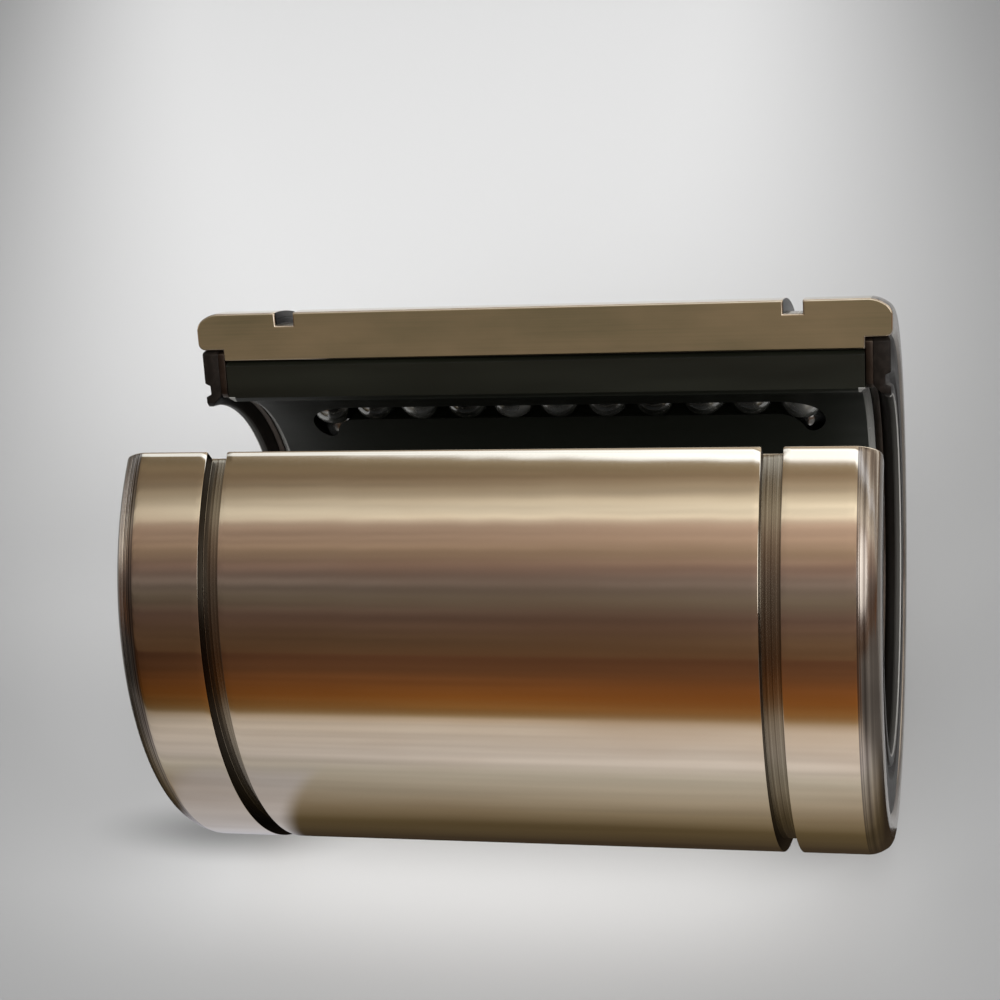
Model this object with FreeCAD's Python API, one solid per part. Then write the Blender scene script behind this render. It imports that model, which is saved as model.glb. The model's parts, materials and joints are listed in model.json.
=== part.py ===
import FreeCAD, Part
import math
import os

Vector = FreeCAD.Vector

# Open linear ball bushing in millimetres and degrees, lying along X with its slot facing up (+Z).
# The origin is the middle of the shaft bore. +X is the right end and -Y is the front.

# Steel sleeve
shaft_diameter = 40.0
sleeve_diameter = 62.0
sleeve_length = 80.0
end_chamfer_length = 1.8
end_chamfer_share_of_wall = 0.2
end_corner_radius = 0.5

# Grooves round the sleeve for two retaining rings
groove_span = 60.6
groove_width = 2.15
groove_depth = 1.5

# Slot along the whole bushing, with radial sides
slot_angle = 50.0
slot_edge_chamfer = 0.4
inner_piece_setback = 0.3
inner_piece_chamfer = 0.5

# Counterbore in each end of the sleeve, with a side ring and a seal stacked in it
counterbore_depth = 3.0
counterbore_share_of_wall = 0.235
mouth_chamfer = 0.3
ring_fit_clearance = 0.03
side_ring_thickness = 0.8
side_ring_bore_clearance = 1.1
seal_setback = 0.3
seal_lip_clearance = 0.04
seal_lip_width = 0.6
seal_lip_depth = 1.4
seal_recess_depth = 0.6
seal_recess_width = 1.6
seal_recess_from_lip = 1.2

# Balls and their circuits: one place round the bore is left out for the slot
ball_share_of_space = 0.505
ball_gap = 0.194
turn_balls = 2
circuit_places = 6
ball_shaft_clearance = 0.01
ball_track_clearance = 0.1
raceway_depth = 0.2

# Moulded retainer that guides the balls
retainer_bore_clearance = 0.6
retainer_sleeve_clearance = 0.15
retainer_end_play = 0.1
retainer_end_wall = 3.6
retainer_bore_chamfer = 0.5

# Worked-out sizes: the balls take their share of the space from the shaft to the outside of the sleeve
shaft_radius = shaft_diameter / 2
sleeve_radius = sleeve_diameter / 2
half_length = sleeve_length / 2
ball_diameter = (sleeve_radius - shaft_radius) * ball_share_of_space
ball_radius = ball_diameter / 2
row_radius = shaft_radius + ball_shaft_clearance + ball_radius
track_radius = ball_radius + ball_track_clearance
sleeve_bore_radius = row_radius + track_radius - raceway_depth
sleeve_wall = sleeve_radius - sleeve_bore_radius
end_chamfer_height = sleeve_wall * end_chamfer_share_of_wall
counterbore_radius = sleeve_bore_radius + sleeve_wall * counterbore_share_of_wall
shoulder_x = half_length - counterbore_depth
retainer_bore_radius = shaft_radius + retainer_bore_clearance
retainer_radius = sleeve_bore_radius - retainer_sleeve_clearance
retainer_half_length = shoulder_x - retainer_end_play
ball_pitch = ball_diameter + ball_gap
turn_step = 180.0 / turn_balls
turn_radius = ball_pitch / (2 * math.sin(math.radians(turn_step / 2)))
room_for_straight = 2 * (retainer_half_length - retainer_end_wall - track_radius - turn_radius)
balls_in_row = int(room_for_straight / ball_pitch)
straight_half = balls_in_row * ball_pitch / 2
circuit_angle = 360.0 / circuit_places

axis_x = Vector(1, 0, 0)
axis_z = Vector(0, 0, 1)
centre = Vector(0, 0, 0)
# How far cutting shapes reach past what they cut, and the distance within which two places are the same
overcut = 3.0
same_place = 0.001


def ring_of(profile):
    # A ring turned about the X axis from (x, radius) points.
    points = [Vector(x, 0, radius) for x, radius in profile]
    outline = Part.makePolygon(points + points[:1])
    return Part.Face(outline).revolve(centre, axis_x, 360)


def slot_cutter(inner_radius, outer_radius, setback, chamfer):
    # The slot's prism: radial sides, set back from the sleeve's own, flared to chamfer both long edges.
    half_angle = math.radians(slot_angle / 2)
    along = Vector(0, math.sin(half_angle), math.cos(half_angle))
    into_wall = Vector(0, math.cos(half_angle), -math.sin(half_angle))
    steps = [
        (inner_radius - overcut, chamfer + overcut),
        (inner_radius + chamfer, 0),
        (outer_radius - chamfer, 0),
        (outer_radius + overcut, chamfer + overcut),
    ]
    back_side = [along * out + into_wall * (aside + setback) for out, aside in steps]
    back_side.append(Vector(0, back_side[-1].y, outer_radius + overcut))
    front_side = [Vector(0, -point.y, point.z) for point in reversed(back_side)]
    points = [point - axis_x * sleeve_length for point in back_side + front_side]
    outline = Part.makePolygon(points + points[:1])
    return Part.Face(outline).extrude(axis_x * 2 * sleeve_length)


def opened_at_slot(ring, inner_radius, outer_radius):
    return ring.cut(slot_cutter(inner_radius, outer_radius, inner_piece_setback, inner_piece_chamfer))


def endless_track(section):
    # One circuit's track under the slot's place: a section on the loaded row's line, run straight along
    # the loaded and return rows and turned through half a circle at each end.
    pieces = []
    for row_y in (0, 2 * turn_radius):
        start = section.copy()
        start.translate(Vector(-straight_half, row_y, row_radius))
        pieces.append(start.extrude(axis_x * 2 * straight_half))
    for end in (-1, 1):
        start = section.copy()
        start.translate(Vector(end * straight_half, 0, row_radius))
        turn_centre = Vector(end * straight_half, turn_radius, row_radius)
        pieces.append(start.revolve(turn_centre, axis_z * end, 180))
    return pieces[0].fuse(pieces[1:]).removeSplitter()


def track_section(side):
    # Half of the balls' path in section, round on one side (1 the sleeve's, -1 the shaft's), with straight
    # walls that run out through the other side.
    reach = axis_z * side * (retainer_radius - row_radius + overcut)
    front, back = Vector(0, -track_radius, 0), Vector(0, track_radius, 0)
    round_side = Part.Arc(front, axis_z * side * track_radius, back).toShape()
    walls = Part.makePolygon([back, back - reach, front - reach, front])
    return Part.Face(Part.Wire([round_side] + walls.Edges))


def in_every_circuit(shape):
    # Copies of a shape made under the slot's place, turned to the circuits from the back round to the front.
    copies = []
    for place in range(1, circuit_places):
        copy = shape.copy()
        copy.rotate(centre, axis_x, -place * circuit_angle)
        copies.append(copy)
    return copies


def outer_sleeve():
    groove_outer = groove_span / 2
    groove_inner = groove_outer - groove_width
    groove_floor = sleeve_radius - groove_depth
    right_half = [
        (groove_inner, sleeve_radius),
        (groove_inner, groove_floor),
        (groove_outer, groove_floor),
        (groove_outer, sleeve_radius),
        (half_length - end_chamfer_length, sleeve_radius),
        (half_length, sleeve_radius - end_chamfer_height),
        (half_length, counterbore_radius + mouth_chamfer),
        (half_length - mouth_chamfer, counterbore_radius),
        (shoulder_x, counterbore_radius),
        (shoulder_x, sleeve_bore_radius),
    ]
    left_half = [(-x, radius) for x, radius in reversed(right_half)]
    sleeve = ring_of(right_half + left_half)
    circles = [edge for edge in sleeve.Edges if edge.Closed]
    chamfer_start = half_length - end_chamfer_length - same_place
    at_ends = [edge for edge in circles if abs(edge.Curve.Center.x) > chamfer_start]
    chamfer_foot = sleeve_radius - end_chamfer_height - same_place
    corners = [edge for edge in at_ends if edge.Curve.Radius > chamfer_foot]
    sleeve = sleeve.makeFillet(end_corner_radius, corners)
    sleeve = sleeve.cut(slot_cutter(sleeve_bore_radius, sleeve_radius, 0, slot_edge_chamfer))
    return sleeve.cut(in_every_circuit(endless_track(track_section(1))))


def ball_retainer():
    chamfer = retainer_bore_chamfer
    right_half = [
        (retainer_half_length, retainer_radius),
        (retainer_half_length, retainer_bore_radius + chamfer),
        (retainer_half_length - chamfer, retainer_bore_radius),
    ]
    left_half = [(-x, radius) for x, radius in reversed(right_half)]
    cage = opened_at_slot(ring_of(right_half + left_half), retainer_bore_radius, retainer_radius)
    return cage.cut(in_every_circuit(endless_track(track_section(-1))))


def side_ring():
    # The right-hand ring, on the sleeve's shoulder and in front of the retainer.
    outer = counterbore_radius - ring_fit_clearance
    inner = shaft_radius + side_ring_bore_clearance
    near_x, far_x = shoulder_x, shoulder_x + side_ring_thickness
    ring = ring_of([(near_x, inner), (far_x, inner), (far_x, outer), (near_x, outer)])
    return opened_at_slot(ring, inner, outer)


def end_seal():
    # The right-hand seal, on the side ring: a thick rim, a shallow recess in its face and a tapered lip.
    rim = counterbore_radius - ring_fit_clearance
    lip = shaft_radius + seal_lip_clearance
    back_x = shoulder_x + side_ring_thickness
    face_x = half_length - seal_setback
    lip_x = face_x - seal_lip_width
    recess_start = lip + seal_recess_from_lip
    recess_end = recess_start + seal_recess_width
    recess_x = face_x - seal_recess_depth
    ring = ring_of([
        (back_x, rim),
        (back_x, lip + seal_lip_depth),
        (lip_x, lip),
        (face_x, lip),
        (face_x, recess_start),
        (recess_x, recess_start + seal_recess_depth / 2),
        (recess_x, recess_end - seal_recess_depth / 2),
        (face_x, recess_end),
        (face_x, rim - mouth_chamfer),
        (face_x - mouth_chamfer, rim),
    ])
    return opened_at_slot(ring, lip, rim)


def left_and_right(name, right_piece):
    left_piece = right_piece.copy()
    left_piece.rotate(centre, axis_z, 180)
    return {"left_" + name: left_piece, "right_" + name: right_piece}


def balls_at(points):
    return Part.makeCompound([Part.makeSphere(ball_radius, point) for point in points])


def ball_groups():
    # One circuit's balls under the slot's place, by where they are in the loop.
    row_x = [(number + 0.5) * ball_pitch - straight_half for number in range(balls_in_row)]
    groups = {
        "loaded_balls": balls_at([Vector(x, 0, row_radius) for x in row_x]),
        "return_balls": balls_at([Vector(x, 2 * turn_radius, row_radius) for x in row_x]),
    }
    for side, end in (("left", -1), ("right", 1)):
        points = []
        for number in range(turn_balls):
            turned = math.radians((number + 0.5) * turn_step)
            x = end * (straight_half + turn_radius * math.sin(turned))
            points.append(Vector(x, turn_radius * (1 - math.cos(turned)), row_radius))
        groups[side + "_turn_balls"] = balls_at(points)
    return groups


pieces = {"outer_sleeve": outer_sleeve(), "ball_retainer": ball_retainer()}
pieces.update(left_and_right("side_ring", side_ring()))
pieces.update(left_and_right("end_seal", end_seal()))
for group_name, group in ball_groups().items():
    for number, copy in enumerate(in_every_circuit(group), start=1):
        pieces["circuit_%d_%s" % (number, group_name)] = copy

os.makedirs("parts", exist_ok=True)
for node, shape in pieces.items():
    shape.exportStep("parts/" + node + ".step")
print(len(pieces), "nodes,", balls_in_row, "balls in each straight row")
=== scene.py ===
import json
import math

import bmesh
import bpy
from mathutils import Matrix, Vector


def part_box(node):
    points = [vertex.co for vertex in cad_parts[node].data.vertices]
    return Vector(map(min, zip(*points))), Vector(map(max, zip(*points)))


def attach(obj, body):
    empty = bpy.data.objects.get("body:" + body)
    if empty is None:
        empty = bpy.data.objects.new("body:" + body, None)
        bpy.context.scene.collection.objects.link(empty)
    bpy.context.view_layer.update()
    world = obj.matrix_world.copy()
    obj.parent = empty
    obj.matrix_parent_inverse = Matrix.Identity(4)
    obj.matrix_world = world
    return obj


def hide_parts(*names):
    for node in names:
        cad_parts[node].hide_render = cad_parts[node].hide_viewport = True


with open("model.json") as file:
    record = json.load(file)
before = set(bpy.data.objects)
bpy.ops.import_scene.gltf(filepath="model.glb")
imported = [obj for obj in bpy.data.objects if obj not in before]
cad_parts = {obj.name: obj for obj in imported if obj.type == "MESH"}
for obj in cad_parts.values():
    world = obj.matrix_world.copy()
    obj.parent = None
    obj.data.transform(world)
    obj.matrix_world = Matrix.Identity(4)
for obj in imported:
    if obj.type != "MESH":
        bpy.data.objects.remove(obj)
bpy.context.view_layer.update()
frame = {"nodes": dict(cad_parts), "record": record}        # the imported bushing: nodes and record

mm = 0.001
black = (0.0, 0.0, 0.0, 1.0)
white = (1.0, 1.0, 1.0, 1.0)
sleeveLow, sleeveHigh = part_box("outer_sleeve")
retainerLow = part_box("ball_retainer")[0]
print("frame loaded,", len(frame["nodes"]), "nodes")


class Wire:
    # A shader socket that takes part in plain Python sums. Wire.node makes every node.
    def __init__(self, tree, socket=None):
        self.tree = tree
        self.socket = socket

    def node(self, kind, settings=None, inputs=None, out=0):
        made = self.tree.nodes.new(kind)
        for name, value in (settings or {}).items():
            if name == "stops":
                self.setStops(made.color_ramp, value)
            else:
                setattr(made, name, value)
        for name, value in (inputs or {}).items():
            if isinstance(value, Wire):
                self.tree.links.new(value.socket, made.inputs[name])
            else:
                made.inputs[name].default_value = value
        return Wire(self.tree, made.outputs[out]) if len(made.outputs) else made

    @staticmethod
    def setStops(ramp, stops):
        while len(ramp.elements) > len(stops):
            ramp.elements.remove(ramp.elements[-1])
        while len(ramp.elements) < len(stops):
            ramp.elements.new(1.0)
        for element, (place, tone) in zip(ramp.elements, stops):
            element.position = place
            element.color = colour(tone)

    def maths(self, operation, first, second=0.0):
        return self.node("ShaderNodeMath", {"operation": operation}, {0: first, 1: second})

    def __add__(self, other):
        return self.maths("ADD", self, other)

    def __radd__(self, other):
        return self.maths("ADD", other, self)

    def __sub__(self, other):
        return self.maths("SUBTRACT", self, other)

    def __rsub__(self, other):
        return self.maths("SUBTRACT", other, self)

    def __mul__(self, other):
        return self.maths("MULTIPLY", self, other)

    def __rmul__(self, other):
        return self.maths("MULTIPLY", other, self)

    def __truediv__(self, other):
        return self.maths("DIVIDE", self, other)

    def __pow__(self, other):
        return self.maths("POWER", self, other)

    def absolute(self):
        return self.maths("ABSOLUTE", self)

    def above(self, limit):
        return self.maths("GREATER_THAN", self, limit)

    def below(self, limit):
        return self.maths("LESS_THAN", self, limit)

    def parts(self):
        split = self.node("ShaderNodeSeparateXYZ", None, {"Vector": self}).socket.node
        return [Wire(self.tree, socket) for socket in split.outputs]

    def stretched(self, scale):
        return self.node("ShaderNodeMapping", None, {"Vector": self, "Scale": scale})

    def noise(self, scale, detail):
        inputs = {"Vector": self, "Scale": scale, "Detail": detail}
        return self.node("ShaderNodeTexNoise", None, inputs)

    def lineNoise(self, detail):
        inputs = {"W": self, "Scale": 1.0, "Detail": detail}
        return self.node("ShaderNodeTexNoise", {"noise_dimensions": "1D"}, inputs)

    def streaks(self):
        return self.noise(1.0, detail=4.0).spread(0.3, 0.7) - 0.5        # from -0.5 to 0.5

    def ramp(self, stops):
        return self.node("ShaderNodeValToRGB", {"stops": stops}, {"Fac": self})

    def spread(self, low, high, toLow=0.0, toHigh=1.0):
        inputs = {"Value": self, "From Min": low, "From Max": high, "To Min": toLow, "To Max": toHigh}
        return self.node("ShaderNodeMapRange", {"clamp": True}, inputs)

    def through(self, low, middle, high):
        # Straight lines through three pairs of a value and its result, level before and after them
        rising = self.spread(low[0], middle[0], low[1], middle[1])
        return rising + self.spread(middle[0], high[0], 0.0, high[1] - middle[1])

    def smooth(self, low, high):
        inputs = {"Value": self, "From Min": low, "From Max": high}
        return self.node("ShaderNodeMapRange", {"interpolation_type": "SMOOTHSTEP"}, inputs)

    def blend(self, first, second):
        return self.node("ShaderNodeMix", {"data_type": "RGBA"}, {0: self, 6: first, 7: second}, 2)

    def bump(self, strength, depth):
        return self.node("ShaderNodeBump", None, {"Height": self, "Strength": strength, "Distance": depth})


def distance(first, second):
    return (first * first + second * second) ** 0.5


def colour(values):
    return (*values, 1.0)


def newFinish(name):
    made = bpy.data.materials.new(name)
    made.use_nodes = True
    place = Wire(made.node_tree).node("ShaderNodeTexCoord", None, None, 3)        # Object coordinates
    return made, place


def dress(made, inputs):
    tree = made.node_tree
    shader = next(node for node in tree.nodes if node.type == "BSDF_PRINCIPLED")
    for name, value in inputs.items():
        if isinstance(value, Wire):
            tree.links.new(value.socket, shader.inputs[name])
        else:
            shader.inputs[name].default_value = value
    return made


def dressGlowing(made, tone, strength=1.0):
    return dress(made, {
        "Base Color": black, "Specular IOR Level": 0.0,
        "Emission Color": tone, "Emission Strength": strength,
    })


# Finishes

groundSteelLook = {
    "tan": (0.70, 0.61, 0.49), "stain": (0.62, 0.51, 0.39),
    "roughness": 0.07, "marksRoughness": 0.03, "stainRoughness": 0.05,
    "marks": (9000.0, 60.0, 60.0),        # grinding marks run round the sleeve
    "smudges": (25.0, 90.0, 90.0), "stained": (0.45, 0.75),
    "bump": 0.02, "bumpDepth": 0.02 * mm,
}


def groundSteel(look):
    made, place = newFinish("groundSteel")
    marks = place.stretched(look["marks"]).noise(1.0, detail=3.0)
    stain = place.stretched(look["smudges"]).noise(1.0, detail=4.0).spread(*look["stained"])
    rough = look["roughness"] + look["marksRoughness"] * (marks - 0.5) + look["stainRoughness"] * stain
    return dress(made, {
        "Base Color": stain.blend(colour(look["tan"]), colour(look["stain"])),
        "Metallic": 1.0, "Roughness": rough,
        "Normal": marks.bump(look["bump"], look["bumpDepth"]),
    })


turningMarks = {
    "tracks": (0.3, 0.7), "stainSize": 140.0, "stained": (0.3, 0.6), "stainShade": (0.6, 1.0),
    "roughness": 0.15, "bumpDepth": 0.05 * mm,
}
turnedSteelLook = {
    "light": (0.62, 0.55, 0.48), "dark": (0.12, 0.095, 0.08),
    "roughness": 0.18, "pitch": 0.22 * mm, "bump": 0.6,
}
grooveSteelLook = {
    "light": (0.40, 0.35, 0.27), "dark": (0.15, 0.12, 0.085),
    "roughness": 0.24, "pitch": 0.30 * mm, "bump": 0.3,
}
# painted shade: the groove's steep walls darkened to near black
paintedShadeGrooveWallLook = {
    "light": (0.05, 0.042, 0.036), "dark": (0.02, 0.016, 0.013),
    "roughness": 0.3, "pitch": 0.22 * mm, "bump": 0.3,
}


def turnedSteel(name, look, marks):
    made, place = newFinish(name)
    x, y, z = place.parts()
    tracks = ((x + distance(y, z)) / look["pitch"]).lineNoise(detail=2.0)
    stain = place.noise(marks["stainSize"], detail=3.0).spread(*marks["stained"], *marks["stainShade"])
    shine = tracks.spread(*marks["tracks"]) * stain
    return dress(made, {
        "Base Color": shine.blend(colour(look["dark"]), colour(look["light"])),
        "Metallic": 1.0, "Roughness": look["roughness"] + marks["roughness"] * (tracks - 0.5),
        "Normal": tracks.bump(look["bump"], marks["bumpDepth"]),
    })


milledSteelLook = {
    "light": (0.205, 0.147, 0.081), "dark": (0.124, 0.098, 0.052),
    "metallic": 0.6, "roughness": 0.55, "linesRoughness": 0.2,
    "lines": (60.0, 5000.0, 5000.0), "linesShare": 0.3, "cloud": (70.0, 180.0, 180.0), "cloudShare": 0.7,
    "contrast": (0.3, 0.7), "bump": 0.15, "bumpDepth": 0.05 * mm,
}


def milledSteel(look):
    made, place = newFinish("milledSteel")
    lines = place.stretched(look["lines"]).noise(1.0, detail=3.0)
    cloud = place.stretched(look["cloud"]).noise(1.0, detail=4.0).spread(*look["contrast"])
    shine = look["linesShare"] * lines.spread(*look["contrast"]) + look["cloudShare"] * cloud
    return dress(made, {
        "Base Color": shine.blend(colour(look["dark"]), colour(look["light"])), "Metallic": look["metallic"],
        "Roughness": look["roughness"] + look["linesRoughness"] * (lines - 0.5),
        "Normal": lines.bump(look["bump"], look["bumpDepth"]),
    })


retainerLook = {
    "resin": (0.0031, 0.0035, 0.0021), "worn": (0.0074, 0.0082, 0.0052), "bore": (0.010, 0.011, 0.0082),
    "lighterBoreEnds": (0.024, 0.025, 0.022), "edge": (0.22, 0.215, 0.20),
    "roughness": 0.42, "flowRoughness": 0.25, "edgeRoughness": 0.25,
    "boreInside": 20.8 * mm, "lighterEndsFrom": 30.0 * mm, "edgeFrom": 36.15 * mm, "edgeInside": 21.2 * mm,
    "flow": (30.0, 200.0, 200.0), "wornFlow": (0.4, 0.8), "lighterEndsFlow": (0.3, 0.6),
    "grain": 2500.0, "bump": 0.1, "bumpDepth": 0.05 * mm,
}


def retainerResin(look):
    made, place = newFinish("retainerResin")
    x, y, z = place.parts()
    out = distance(y, z)
    end = x.absolute()
    grain = place.noise(look["grain"], detail=2.0)
    flow = place.stretched(look["flow"]).noise(1.0, detail=3.0)
    edge = end.above(look["edgeFrom"]) * out.below(look["edgeInside"])        # painted highlight on the rim at each end, with real polish in its lower roughness
    moulded = flow.spread(*look["wornFlow"]).blend(colour(look["resin"]), colour(look["worn"]))
    # painted light in the bore: lighter than the outer faces against the shade inside it, and lighter still towards
    # the ends
    towardsBoreEnds = end.smooth(look["lighterEndsFrom"], look["edgeFrom"]) * flow.spread(*look["lighterEndsFlow"])
    lighterBoreEnds = towardsBoreEnds.blend(colour(look["bore"]), colour(look["lighterBoreEnds"]))
    polish = (look["roughness"] - look["edgeRoughness"]) * edge
    return dress(made, {
        "Base Color": edge.blend(out.below(look["boreInside"]).blend(moulded, lighterBoreEnds), colour(look["edge"])),
        "Roughness": look["roughness"] + look["flowRoughness"] * (flow - 0.5) - polish,
        "Normal": grain.bump(look["bump"], look["bumpDepth"]),
    })


sealLook = {
    "rubber": (0.0055, 0.0042, 0.0034), "bloom": (0.014, 0.0105, 0.0085), "lip": (0.045, 0.042, 0.038),
    "corner": (0.32, 0.31, 0.29), "roughness": 0.45, "grainRoughness": 0.2, "shine": 0.25,
    "lipInside": 20.22 * mm, "cornerFrom": 39.56 * mm,
    "grain": 1800.0, "bloomed": (0.45, 0.85), "bump": 0.12, "bumpDepth": 0.05 * mm,
}


def sealRubber(look):
    made, place = newFinish("sealRubber")
    x, y, z = place.parts()
    grain = place.noise(look["grain"], detail=3.0)
    lip = distance(y, z).below(look["lipInside"])        # painted highlight along the lip's edge that meets the shaft
    # painted highlight, paler still, where the lip meets the outer face
    corner = lip * x.absolute().above(look["cornerFrom"])
    body = grain.spread(*look["bloomed"]).blend(colour(look["rubber"]), colour(look["bloom"]))
    return dress(made, {
        "Base Color": corner.blend(lip.blend(body, colour(look["lip"])), colour(look["corner"])),
        "Roughness": look["roughness"] + look["grainRoughness"] * (grain - 0.5),
        "Specular IOR Level": look["shine"], "Normal": grain.bump(look["bump"], look["bumpDepth"]),
    })


ballLook = {
    "steel": (0.36, 0.36, 0.35), "grease": (0.60, 0.60, 0.57), "greaseSize": 110.0, "greased": (0.46, 0.68),
    "roughness": 0.14, "greaseRoughness": 0.22, "matt": 0.14,
}


def ballSteel(look):
    made, place = newFinish("ballSteel")
    grease = place.noise(look["greaseSize"], detail=3.0).spread(*look["greased"])
    return dress(made, {
        "Base Color": grease.blend(colour(look["steel"]), colour(look["grease"])),
        "Metallic": 1.0 - look["matt"] * grease,
        "Roughness": look["roughness"] + look["greaseRoughness"] * grease,
    })


rollingMarks = {"stretch": (200.0, 1500.0, 200.0), "roughness": 0.15, "bump": 0.1, "bumpDepth": 0.03 * mm}
ringLook = {"light": (0.16, 0.13, 0.11), "dark": (0.06, 0.048, 0.04), "roughness": 0.38}
racewayLook = {"light": (0.50, 0.48, 0.45), "dark": (0.32, 0.30, 0.28), "roughness": 0.22}


def rolledSteel(name, look, marks):
    made, place = newFinish(name)
    rolled = place.stretched(marks["stretch"]).noise(1.0, detail=3.0)
    return dress(made, {
        "Base Color": rolled.blend(colour(look["dark"]), colour(look["light"])),
        "Metallic": 1.0, "Roughness": look["roughness"] + marks["roughness"] * (rolled - 0.5),
        "Normal": rolled.bump(marks["bump"], marks["bumpDepth"]),
    })


finishes = {        # by the record's material slots
    "sleeve_steel": groundSteel(groundSteelLook),
    "ring_steel": rolledSteel("ringSteel", ringLook, rollingMarks),
    "ball_steel": ballSteel(ballLook),
    "retainer_resin": retainerResin(retainerLook),
    "seal_rubber": sealRubber(sealLook),
}
sleeveFinishes = {
    "ground": finishes["sleeve_steel"],
    "turned": turnedSteel("turnedSteel", turnedSteelLook, turningMarks),
    "milled": milledSteel(milledSteelLook),
    "groove": turnedSteel("grooveSteel", grooveSteelLook, turningMarks),
    "raceway": rolledSteel("racewaySteel", racewayLook, rollingMarks),
    "paintedShadeGrooveWall": turnedSteel("paintedShadeGrooveWallSteel", paintedShadeGrooveWallLook, turningMarks),
}
for row in frame["record"]["subparts"]:
    node = frame["nodes"][row["node"]]
    if not node.material_slots:
        node.data.materials.append(None)
    for slot in node.material_slots:
        slot.material = finishes[row["material_slot"]]
print("finishes made")


# Tools for new pieces

edgeWork = {"flat": 1.0, "sharp": 25.0, "creased": 40.0, "steps": 2, "merge": 0.001 * mm}        # degrees


def vertsOf(parts):
    return [part for part in parts if isinstance(part, bmesh.types.BMVert)]


def edgesOf(parts):
    return [part for part in parts if isinstance(part, bmesh.types.BMEdge)]


def drawOut(shape, edges, step):
    drawn = bmesh.ops.extrude_edge_only(shape, edges=edges)["geom"]
    bmesh.ops.translate(shape, verts=vertsOf(drawn), vec=step)
    return drawn


def roundEdges(shape, width):
    limit = math.radians(edgeWork["sharp"])
    sharp = [edge for edge in shape.edges if edge.is_manifold and edge.calc_face_angle() > limit]
    bmesh.ops.bevel(shape, geom=sharp, offset=width * mm, segments=edgeWork["steps"], profile=0.5,
                    affect="EDGES", material=-1, clamp_overlap=True)


def newPiece(name, shape, materials):
    mesh = bpy.data.meshes.new(name)
    shape.to_mesh(mesh)
    shape.free()
    for material in materials:
        mesh.materials.append(material)
    piece = bpy.data.objects.new(name, mesh)
    bpy.context.scene.collection.objects.link(piece)
    return piece


def applyModifiers(piece):
    graph = bpy.context.evaluated_depsgraph_get()
    piece.data = bpy.data.meshes.new_from_object(piece.evaluated_get(graph))
    piece.modifiers.clear()


# Steel sleeve, turned from one outline and opened at the slot

sleeveShape = {        # millimetres and degrees
    "grooveSpan": 60.6, "grooveWidth": 2.15, "grooveDepth": 1.5,
    "endChamfer": (1.8, 1.107), "endRound": 0.8, "endRoundSteps": 5,
    "counterbore": (3.0, 26.766), "retainerGap": 0.15,
    "slotHalfAngle": 25.0, "slotChamfer": 0.16, "edgeRound": 0.09,
    "steps": 248, "longEdge": 4.0, "along": 0.8,        # how finely it is turned, and long edges divided
    "skin": 0.02, "grooveMargin": 0.1, "steepWall": 0.7,        # for telling its surfaces apart
}
racewayShape = {        # millimetres
    "row": 22.7875, "radius": 2.8775, "straight": 51.74, "turn": 4.065,
    "places": 6, "round": 32, "turnSteps": 20,
}


def sleeveOutline(look):
    radius, half = sleeveHigh.y / mm, sleeveHigh.x / mm
    bore = -retainerLow.z / mm + look["retainerGap"]
    outer = look["grooveSpan"] / 2
    inner = outer - look["grooveWidth"]
    floor = radius - look["grooveDepth"]
    runIn, drop = look["endChamfer"]
    depth, counter = look["counterbore"]
    right = [
        (inner, radius), (inner, floor), (outer, floor), (outer, radius),
        (half - runIn, radius), (half, radius - drop),
        (half, counter), (half - depth, counter), (half - depth, bore),
    ]
    return right + [(-x, out) for x, out in reversed(right)]


def atAngle(x, out, degrees):
    turn = math.radians(degrees)        # from straight up towards the front
    return Vector((x, -out * math.sin(turn), out * math.cos(turn))) * mm


def turnSleeve(look):
    shape = bmesh.new()
    slot = look["slotHalfAngle"]
    outline = sleeveOutline(look)
    corners = [shape.verts.new(atAngle(x, out, slot)) for x, out in outline]
    for first, second in zip(corners, corners[1:] + corners[:1]):
        shape.edges.new((first, second))
    chamferStart = sleeveHigh.x / mm - look["endChamfer"][0]
    ends = [corner for corner, (x, out) in zip(corners, outline) if abs(x) >= chamferStart]
    bmesh.ops.bevel(shape, geom=ends, offset=look["endRound"] * mm, segments=look["endRoundSteps"],
                    profile=0.5, affect="VERTICES", material=-1)
    for edge in [edge for edge in shape.edges if edge.calc_length() > look["longEdge"] * mm]:
        cuts = int(edge.calc_length() / (look["along"] * mm))
        bmesh.ops.subdivide_edges(shape, edges=[edge], cuts=cuts)
    bmesh.ops.spin(shape, geom=shape.verts[:] + shape.edges[:], cent=(0, 0, 0), axis=(1, 0, 0),
                   angle=math.radians(360 - 2 * slot), steps=look["steps"], use_merge=False)
    rims = [edge for edge in shape.edges if len(edge.link_faces) == 1]
    caps = bmesh.ops.holes_fill(shape, edges=rims, sides=0)["faces"]
    bmesh.ops.recalc_face_normals(shape, faces=shape.faces)
    return shape, caps


def markFinishes(shape, caps, look, numbers):
    radius = sleeveHigh.y - look["skin"] * mm
    counter = look["counterbore"][1] * mm
    grooveEnd = (look["grooveSpan"] / 2 + look["grooveMargin"]) * mm
    for face in shape.faces:
        face.smooth = True
        middle = face.calc_center_median()
        out = middle.yz.length
        if face in caps:
            face.material_index = numbers["milled"]
        elif counter < out < radius and abs(middle.x) < grooveEnd:
            steep = abs(face.normal.x) > look["steepWall"]
            face.material_index = numbers["paintedShadeGrooveWall" if steep else "groove"]
        elif out < radius:
            face.material_index = numbers["turned"]


def chamferSlot(shape, caps, look, number):
    chamfer = look["slotChamfer"] * mm
    for cap in caps:
        bmesh.ops.translate(shape, verts=cap.verts, vec=-cap.normal * chamfer)
        edging = bmesh.ops.inset_region(shape, faces=[cap], thickness=chamfer, depth=chamfer,
                                        use_even_offset=True)
        for face in edging["faces"]:
            face.material_index = number


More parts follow.
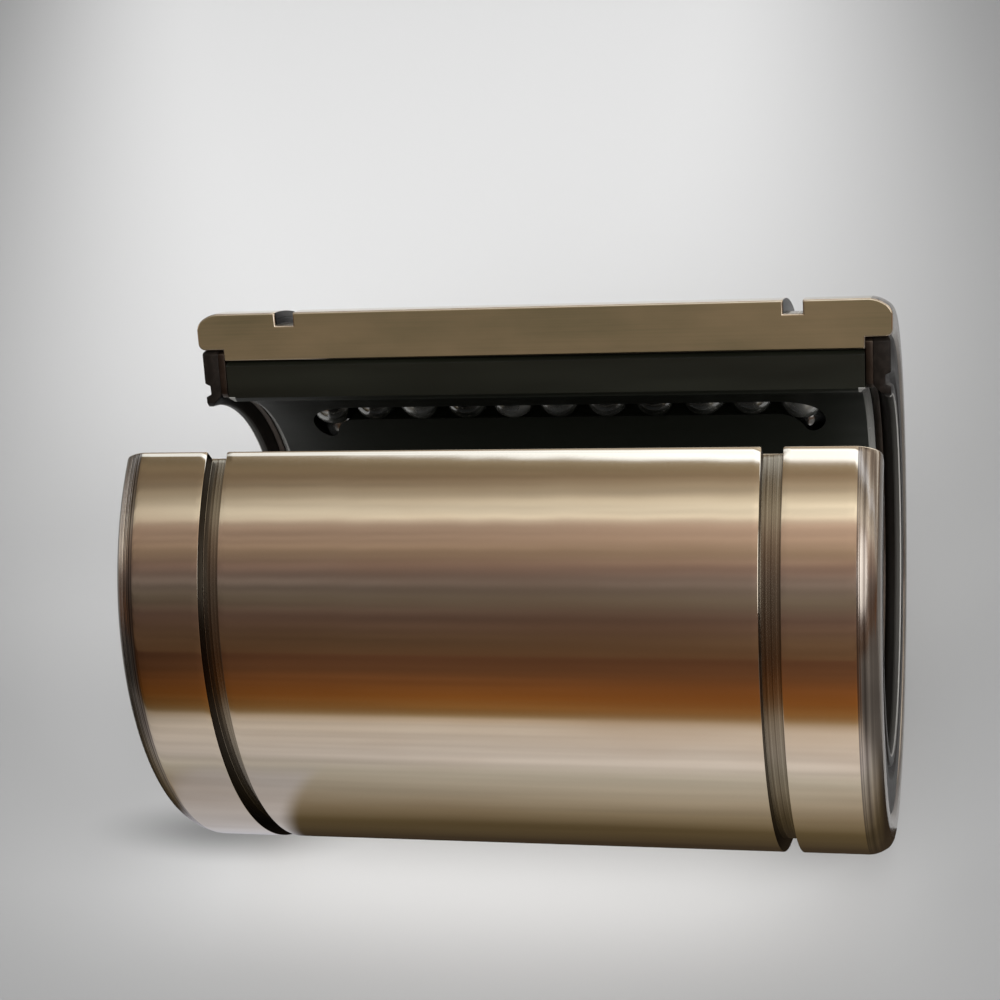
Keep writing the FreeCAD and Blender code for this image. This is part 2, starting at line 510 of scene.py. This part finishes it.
def makeRaceways(look, number):
    # Five closed tubes along the balls' endless paths, to be cut from the sleeve's bore
    shape = bmesh.new()
    half, row, turn = look["straight"] / 2 * mm, look["row"] * mm, look["turn"] * mm
    upright = Matrix.Translation((-half, 0, row)) @ Matrix.Rotation(math.radians(90), 4, "Y")
    bmesh.ops.create_circle(shape, cap_ends=False, radius=look["radius"] * mm, segments=look["round"],
                            matrix=upright)
    rim = shape.edges[:]
    for side in (1, -1):
        drawn = drawOut(shape, rim, (side * 2 * half, 0, 0))
        turned = bmesh.ops.spin(shape, geom=vertsOf(drawn) + edgesOf(drawn), cent=(side * half, turn, row),
                                axis=(0, 0, 1), angle=math.radians(180), steps=look["turnSteps"],
                                use_merge=False)
        rim = edgesOf(turned["geom_last"])
    bmesh.ops.remove_doubles(shape, verts=shape.verts, dist=edgeWork["merge"])
    bmesh.ops.recalc_face_normals(shape, faces=shape.faces)
    first = shape.verts[:] + shape.edges[:] + shape.faces[:]
    step = -math.radians(360 / look["places"])
    for place in range(2, look["places"]):
        copied = bmesh.ops.duplicate(shape, geom=first)["geom"]
        bmesh.ops.rotate(shape, verts=vertsOf(copied), cent=(0, 0, 0),
                         matrix=Matrix.Rotation(place * step, 3, "X"))
    bmesh.ops.rotate(shape, verts=vertsOf(first), cent=(0, 0, 0), matrix=Matrix.Rotation(step, 3, "X"))
    for face in shape.faces:
        face.material_index = number
    return newPiece("raceways", shape, [])


def cutAway(piece, tool):
    cut = piece.modifiers.new("cut", "BOOLEAN")
    cut.operation = "DIFFERENCE"
    cut.solver = "EXACT"
    cut.object = tool
    applyModifiers(piece)
    bpy.data.objects.remove(tool)


def flattenFaces(piece):
    # Keeps the reflections in wide faces true up to their rounded edges
    flatten = piece.modifiers.new("flatten", "WEIGHTED_NORMAL")
    flatten.keep_sharp = True
    flatten.weight = 100        # the wide face decides alone
    applyModifiers(piece)


def makeSleeve(look, materials):
    numbers = {name: number for number, name in enumerate(materials)}
    shape, caps = turnSleeve(look)
    markFinishes(shape, caps, look, numbers)
    chamferSlot(shape, caps, look, numbers["ground"])
    roundEdges(shape, look["edgeRound"])
    sleeve = newPiece("sleeve", shape, materials.values())
    cutAway(sleeve, makeRaceways(racewayShape, numbers["raceway"]))
    sleeve.data.set_sharp_from_angle(angle=math.radians(edgeWork["creased"]))
    flattenFaces(sleeve)
    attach(sleeve, "bushing")
    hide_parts("outer_sleeve")
    print("sleeve made,", len(sleeve.data.polygons), "faces")


makeSleeve(sleeveShape, sleeveFinishes)


# Seals and side rings with their sharp edges taken off

softShape = {
    "end_seal": {"edgeRound": 0.10, "slot": "seal_rubber"},        # millimetres
    "side_ring": {"edgeRound": 0.08, "slot": "ring_steel"},
}


def makeSoftened(nodeName, look):
    shape = bmesh.new()
    shape.from_mesh(frame["nodes"][nodeName].data)
    bmesh.ops.remove_doubles(shape, verts=shape.verts, dist=edgeWork["merge"])
    bmesh.ops.dissolve_limit(shape, angle_limit=math.radians(edgeWork["flat"]), verts=shape.verts,
                             edges=shape.edges)
    roundEdges(shape, look["edgeRound"])
    for face in shape.faces:
        face.smooth = True
    piece = newPiece(nodeName + "_rounded", shape, [finishes[look["slot"]]])
    piece.data.set_sharp_from_angle(angle=math.radians(edgeWork["creased"]))
    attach(piece, "bushing")
    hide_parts(nodeName)
    print(piece.name, "made,", len(piece.data.polygons), "faces")


for pieceName, look in softShape.items():
    for side in ("left_", "right_"):
        makeSoftened(side + pieceName, look)


# Camera at the photograph's angle

cameraLook = {
    "eye": (50.857, -174.137, 149.746),        # millimetres
    "azimuth": 16.043, "elevation": 39.185, "roll": -10.148,
    "lens": 73.115, "sensor": 36.0, "shift": (-0.05, 0.06), "nearest": 1.0,
}


def makeCamera(look):
    turn, drop = math.radians(look["azimuth"]), math.radians(look["elevation"])
    ahead = -Vector((math.sin(turn) * math.cos(drop), -math.cos(turn) * math.cos(drop), math.sin(drop)))
    level = ahead.cross(Vector((0, 0, 1))).normalized()
    rise = level.cross(ahead)
    roll = math.radians(look["roll"])
    right = level * math.cos(roll) + rise * math.sin(roll)
    up = rise * math.cos(roll) - level * math.sin(roll)
    data = bpy.data.cameras.new("camera")
    data.sensor_width = look["sensor"]
    data.lens = look["lens"]
    data.shift_x, data.shift_y = look["shift"]
    data.clip_start = look["nearest"] * mm
    camera = bpy.data.objects.new("camera", data)
    camera.matrix_world = Matrix((right, up, -ahead)).transposed().to_4x4()
    camera.location = Vector(look["eye"]) * mm
    bpy.context.scene.collection.objects.link(camera)
    bpy.context.scene.camera = camera


makeCamera(cameraLook)


# Pale floor, darker outside a long pool of light, and a backdrop that curves up from its rim

floorLook = {        # metres
    "reach": 0.45, "round": 96, "roughness": 0.7, "pale": (0.80, 0.80, 0.80), "edge": (0.31, 0.31, 0.31),
    "pool": {"middle": (-0.088, 0.335), "reach": (0.120, 0.490), "turn": 12.5, "flat": 0.5},
    "near": (0.022, 0.050), "nearShade": 0.85,        # darker again in front
    "far": (0.28, 0.44), "farTone": (0.36, 0.36, 0.36),
    "leftEndShadow": {"middle": (-0.043, -0.0135), "reach": (0.020, 0.006), "shade": 0.55},        # painted shadow on the floor beside the sleeve's left end
    "paintedGlow": {        # painted light: the floor glows in front of the sleeve, in place of light that the steel throws on it
        "tone": (0.27, 0.27, 0.265), "middle": (-0.005, -0.012),
        "across": (0.020, 0.055), "ahead": (0.0, 0.025),
    },
}
backdropLook = {        # metres
    "curve": 0.35, "curveSteps": 12, "wall": 0.9, "round": 96,
    "rise": 0.5, "top": (0.62, 0.62, 0.62),
}


def inOval(x, y, look):
    # 0 in the middle of an oval and 1 at its rim
    return distance((x - look["middle"][0]) / look["reach"][0], (y - look["middle"][1]) / look["reach"][1])


def floorTone(x, y, look):
    pool = look["pool"]
    turn = math.radians(pool["turn"])
    aside, ahead = x - pool["middle"][0], y - pool["middle"][1]
    wide = (aside * math.cos(turn) + ahead * math.sin(turn)) / pool["reach"][0]
    deep = (ahead * math.cos(turn) - aside * math.sin(turn)) / pool["reach"][1]
    outside = distance(wide, deep).smooth(pool["flat"], 1.0)
    near = look["nearShade"] * (0.0 - y).smooth(*look["near"])
    outside = 1.0 - (1.0 - outside) * (1.0 - near)
    return outside.blend(colour(look["pale"]), colour(look["edge"]))


def makeFloor(look):
    shape = bmesh.new()
    level = Matrix.Translation((0, 0, sleeveLow.z))
    bmesh.ops.create_circle(shape, cap_ends=True, radius=look["reach"], segments=look["round"], matrix=level)
    made, place = newFinish("paleFloor")
    x, y = place.parts()[:2]
    leftEndShadow, paintedGlow = look["leftEndShadow"], look["paintedGlow"]
    # painted shadow: darkens the floor's colour and its glow beside the left end
    paintedShadow = leftEndShadow["shade"] * (1.0 - inOval(x, y, leftEndShadow).smooth(0.0, 1.0))
    tone = paintedShadow.blend(floorTone(x, y, look), black)
    # painted light: glow in the floor's own emission in front of the sleeve
    beside = (x - paintedGlow["middle"][0]).absolute().smooth(*paintedGlow["across"])
    before = (y - paintedGlow["middle"][1]).absolute().smooth(*paintedGlow["ahead"])
    lit = (1.0 - beside) * (1.0 - before) * (1.0 - paintedShadow)
    far = distance(x, y).smooth(*look["far"])
    dress(made, {
        "Base Color": far.blend(tone, black), "Roughness": look["roughness"], "Specular IOR Level": 0.0,
        "Emission Color": far.blend(lit.blend(black, colour(paintedGlow["tone"])), colour(look["farTone"])),
        "Emission Strength": 1.0,
    })
    newPiece("floor", shape, [made])


def makeBackdrop(look, floor):
    shape = bmesh.new()
    rim = shape.verts.new((floor["reach"], 0, sleeveLow.z))
    bmesh.ops.spin(shape, geom=[rim], cent=(floor["reach"], 0, sleeveLow.z + look["curve"]), axis=(0, -1, 0),
                   angle=math.radians(90), steps=look["curveSteps"], use_merge=False)
    upper = max(shape.verts, key=lambda vert: vert.co.z)
    top = bmesh.ops.extrude_vert_indiv(shape, verts=[upper])["verts"]
    bmesh.ops.translate(shape, verts=top, vec=(0, 0, look["wall"]))
    bmesh.ops.spin(shape, geom=shape.verts[:] + shape.edges[:], cent=(0, 0, 0), axis=(0, 0, 1),
                   angle=math.radians(360), steps=look["round"], use_merge=True)
    for face in shape.faces:
        face.smooth = True
    made, place = newFinish("paleBackdrop")
    up = (place.parts()[2] - sleeveLow.z).smooth(0.0, look["rise"])
    dressGlowing(made, up.blend(colour(floor["farTone"]), colour(look["top"])))
    backdrop = newPiece("backdrop", shape, [made])
    backdrop.visible_diffuse = False
    backdrop.visible_glossy = False
    backdrop.visible_shadow = False


makeFloor(floorLook)
makeBackdrop(backdropLook, floorLook)
print("camera, floor and backdrop made")


# Glowing card bent up in front, a painted reflection seen only in the steel: its foot lies on the floor

cardLook = {
    "start": -10 * mm, "front": -137 * mm, "top": 26 * mm, "half": 400 * mm, "clear": 0.3 * mm,
    "bright": [(-100 * mm, 0.30), (-62 * mm, 0.80), (40 * mm, 1.12)],        # by the place along X
    "streaks": 0.3, "streakSize": (12.0, 160.0, 160.0),
    "middle": -37 * mm, "ends": (88 * mm, 125 * mm), "endTone": (0.18, 0.172, 0.165),
    "leftTone": (0.56, 0.56, 0.61), "leftStart": (31.5 * mm, 34.5 * mm), "leftEnd": (47 * mm, 53 * mm),
    "leftDepth": (38 * mm, 52 * mm),        # paler foot under the sleeve's left end
    "tones": [        # millimetres along the card from its start under the sleeve
        (0, (0.03, 0.02, 0.012)), (10, (0.05, 0.036, 0.022)), (19, (0.13, 0.10, 0.053)),
        (25, (0.25, 0.21, 0.15)), (30, (0.37, 0.33, 0.27)), (45, (0.57, 0.56, 0.53)),
        (55, (0.70, 0.68, 0.70)), (98, (0.73, 0.68, 0.64)), (114, (0.60, 0.50, 0.40)),
        (122, (0.36, 0.26, 0.14)), (132, (0.29, 0.15, 0.05)), (145, (0.27, 0.105, 0.026)),
        (158, (0.21, 0.085, 0.03)), (170, (0.15, 0.07, 0.035)), (184, (0.13, 0.062, 0.036)),
    ],
}


def reflectOnly(thing):
    thing.visible_camera = False
    thing.visible_diffuse = False
    thing.visible_shadow = False


def cardTone(place, floor, look):
    x, y, z = place.parts()
    length = look["start"] - look["front"] + look["top"] - floor
    along = ((look["start"] - y) + (z - floor)) / length
    tone = along.ramp([(at * mm / length, tone) for at, tone in look["tones"]])
    leftward = 0.0 - x
    leftFoot = leftward.smooth(*look["leftStart"]) * (1.0 - leftward.smooth(*look["leftEnd"]))
    leftFoot = leftFoot * (1.0 - (along * length).smooth(*look["leftDepth"]))
    tone = leftFoot.blend(tone, colour(look["leftTone"]))
    ends = (x - look["middle"]).absolute().smooth(*look["ends"])
    tone = ends.blend(tone, colour(look["endTone"]))
    streaks = place.stretched(look["streakSize"]).streaks()
    strength = x.through(*look["bright"]) * (1.0 + look["streaks"] * streaks)
    return place.node("ShaderNodeVectorMath", {"operation": "SCALE"}, {0: tone, "Scale": strength})


def makeCard(look):
    shape = bmesh.new()
    floor = sleeveLow.z + look["clear"]
    corners = [shape.verts.new((end * look["half"], look["start"], floor)) for end in (-1, 1)]
    edges = [shape.edges.new(corners)]
    for step in ((0, look["front"] - look["start"], 0), (0, 0, look["top"] - floor)):
        edges = edgesOf(drawOut(shape, edges, step))
    made, place = newFinish("glowingCard")
    card = newPiece("card", shape, [dressGlowing(made, cardTone(place, floor, look))])
    reflectOnly(card)


makeCard(cardLook)


# Soft studio light: three lamps for the floor and the matt pieces, which the steel doesn't reflect

lampLook = {
    "front": {"size": 1.5, "at": (0.15, -1.10, 0.85), "power": 29.0},
    "side": {"size": 0.6, "at": (0.95, -0.55, 0.80), "power": 7.0},
    "ceiling": {"size": 1.8, "at": (0.0, 0.10, 1.20), "power": 6.0},
}


def facingBushing(place):
    return (-Vector(place)).to_track_quat("-Z", "Y")


def makeLamp(name, look):
    data = bpy.data.lights.new(name, "AREA")
    data.shape = "DISK"
    data.size = look["size"]
    data.energy = look["power"]
    lamp = bpy.data.objects.new(name, data)
    lamp.location = look["at"]
    lamp.rotation_mode = "QUATERNION"
    lamp.rotation_quaternion = facingBushing(look["at"])
    lamp.visible_glossy = False
    bpy.context.scene.collection.objects.link(lamp)


for lampName, look in lampLook.items():
    makeLamp(lampName, look)


# Softbox at the front right, seen only as a glint in the edges and the balls

softboxLook = {"size": 0.8, "at": (0.75, -0.95, 0.85), "round": 48, "glow": 2.2}


def makeSoftbox(look):
    shape = bmesh.new()
    facing = Matrix.Translation(look["at"]) @ facingBushing(look["at"]).to_matrix().to_4x4()
    bmesh.ops.create_circle(shape, cap_ends=True, radius=look["size"] / 2, segments=look["round"],
                            matrix=facing)
    made = newFinish("softboxFace")[0]
    softbox = newPiece("softbox", shape, [dressGlowing(made, white, look["glow"])])
    reflectOnly(softbox)


makeSoftbox(softboxLook)


# Room that only the steel and other glossy pieces reflect. Its tones go by the angle from straight up, in
# degrees: below 0 behind the bushing, above 0 in front of it. The angles lean and the tones brighten with the
# direction along X, so the right reflects more light.

roomLook = {
    "lean": 25.0, "leanFrom": -0.274, "leanFade": 12.0,
    "bright": [(-0.65, 0.5), (-0.24, 1.0), (-0.05, 1.3)],
    "leftEnd": (-0.9, -0.98, 1.3),        # brighter again at the far left
    "streaks": 0.45, "streakSize": (2.5, 20.0), "ragged": 5.0, "raggedSize": 90.0,
    "tones": [
        (-120, (0.20, 0.16, 0.12)), (-106, (0.32, 0.25, 0.18)), (-100, (1.30, 1.30, 1.25)),
        (-86, (1.30, 1.30, 1.25)), (-80, (0.62, 0.58, 0.52)), (-68, (0.62, 0.58, 0.52)),
        (-58, (0.34, 0.29, 0.24)), (-44, (0.24, 0.20, 0.17)), (-34, (0.40, 0.34, 0.27)),
        (-27, (0.75, 0.70, 0.62)), (-19, (0.42, 0.37, 0.31)), (-16, (0.36, 0.31, 0.25)),
        (-12, (1.45, 1.60, 1.80)), (0, (1.45, 1.60, 1.80)), (1, (0.36, 0.31, 0.23)),
        (5, (0.29, 0.235, 0.16)), (10, (0.27, 0.21, 0.15)), (15, (0.44, 0.38, 0.30)),
        (19, (0.60, 0.55, 0.46)), (23, (0.98, 0.93, 0.82)), (26, (0.98, 0.93, 0.82)),
        (30, (0.52, 0.40, 0.34)), (36, (0.45, 0.34, 0.28)), (41, (0.35, 0.265, 0.205)),
        (47, (0.26, 0.184, 0.163)), (53, (0.235, 0.195, 0.185)), (60, (0.153, 0.128, 0.105)),
        (67, (0.133, 0.087, 0.073)), (76, (0.125, 0.078, 0.05)), (84, (0.12, 0.066, 0.036)),
        (100, (0.20, 0.08, 0.03)),
    ],
}


def makeRoom(look):
    world = bpy.data.worlds.new("room")
    world.use_nodes = True
    tree = world.node_tree
    tree.nodes.clear()
    towards = Wire(tree).node("ShaderNodeTexCoord", None, None, 0)
    x, y, z = towards.parts()
    upright = towards.maths("ARCTAN2", 0.0 - y, z)
    leaning = upright.spread(0.0, math.radians(look["leanFade"]), 1.0, 0.0)
    lean = math.radians(look["lean"]) * (x - look["leanFrom"]) * leaning
    ragged = math.radians(look["ragged"]) * ((x * look["raggedSize"]).lineNoise(detail=4.0) - 0.5)
    angle = upright - lean + ragged
    along = angle / (2 * math.pi) + 0.5
    light = along.ramp([(0.5 + degrees / 360.0, tone) for degrees, tone in look["tones"]])
    leftStart, leftFull, leftGain = look["leftEnd"]
    bright = x.through(*look["bright"]) + x.spread(leftFull, leftStart, leftGain, 0.0)
    wide, deep = look["streakSize"]
    streaks = towards.node("ShaderNodeCombineXYZ", None, {0: x * wide, 1: angle * deep}).streaks()
    strength = bright + look["streaks"] * streaks
    back = Wire(tree).node("ShaderNodeBackground", None, {"Color": light, "Strength": strength})
    Wire(tree).node("ShaderNodeOutputWorld", None, {"Surface": back})
    world.cycles_visibility.diffuse = False
    bpy.context.scene.world = world


makeRoom(roomLook)
bpy.context.scene.view_settings.view_transform = "Standard"
print("card, lamps, softbox and room made")
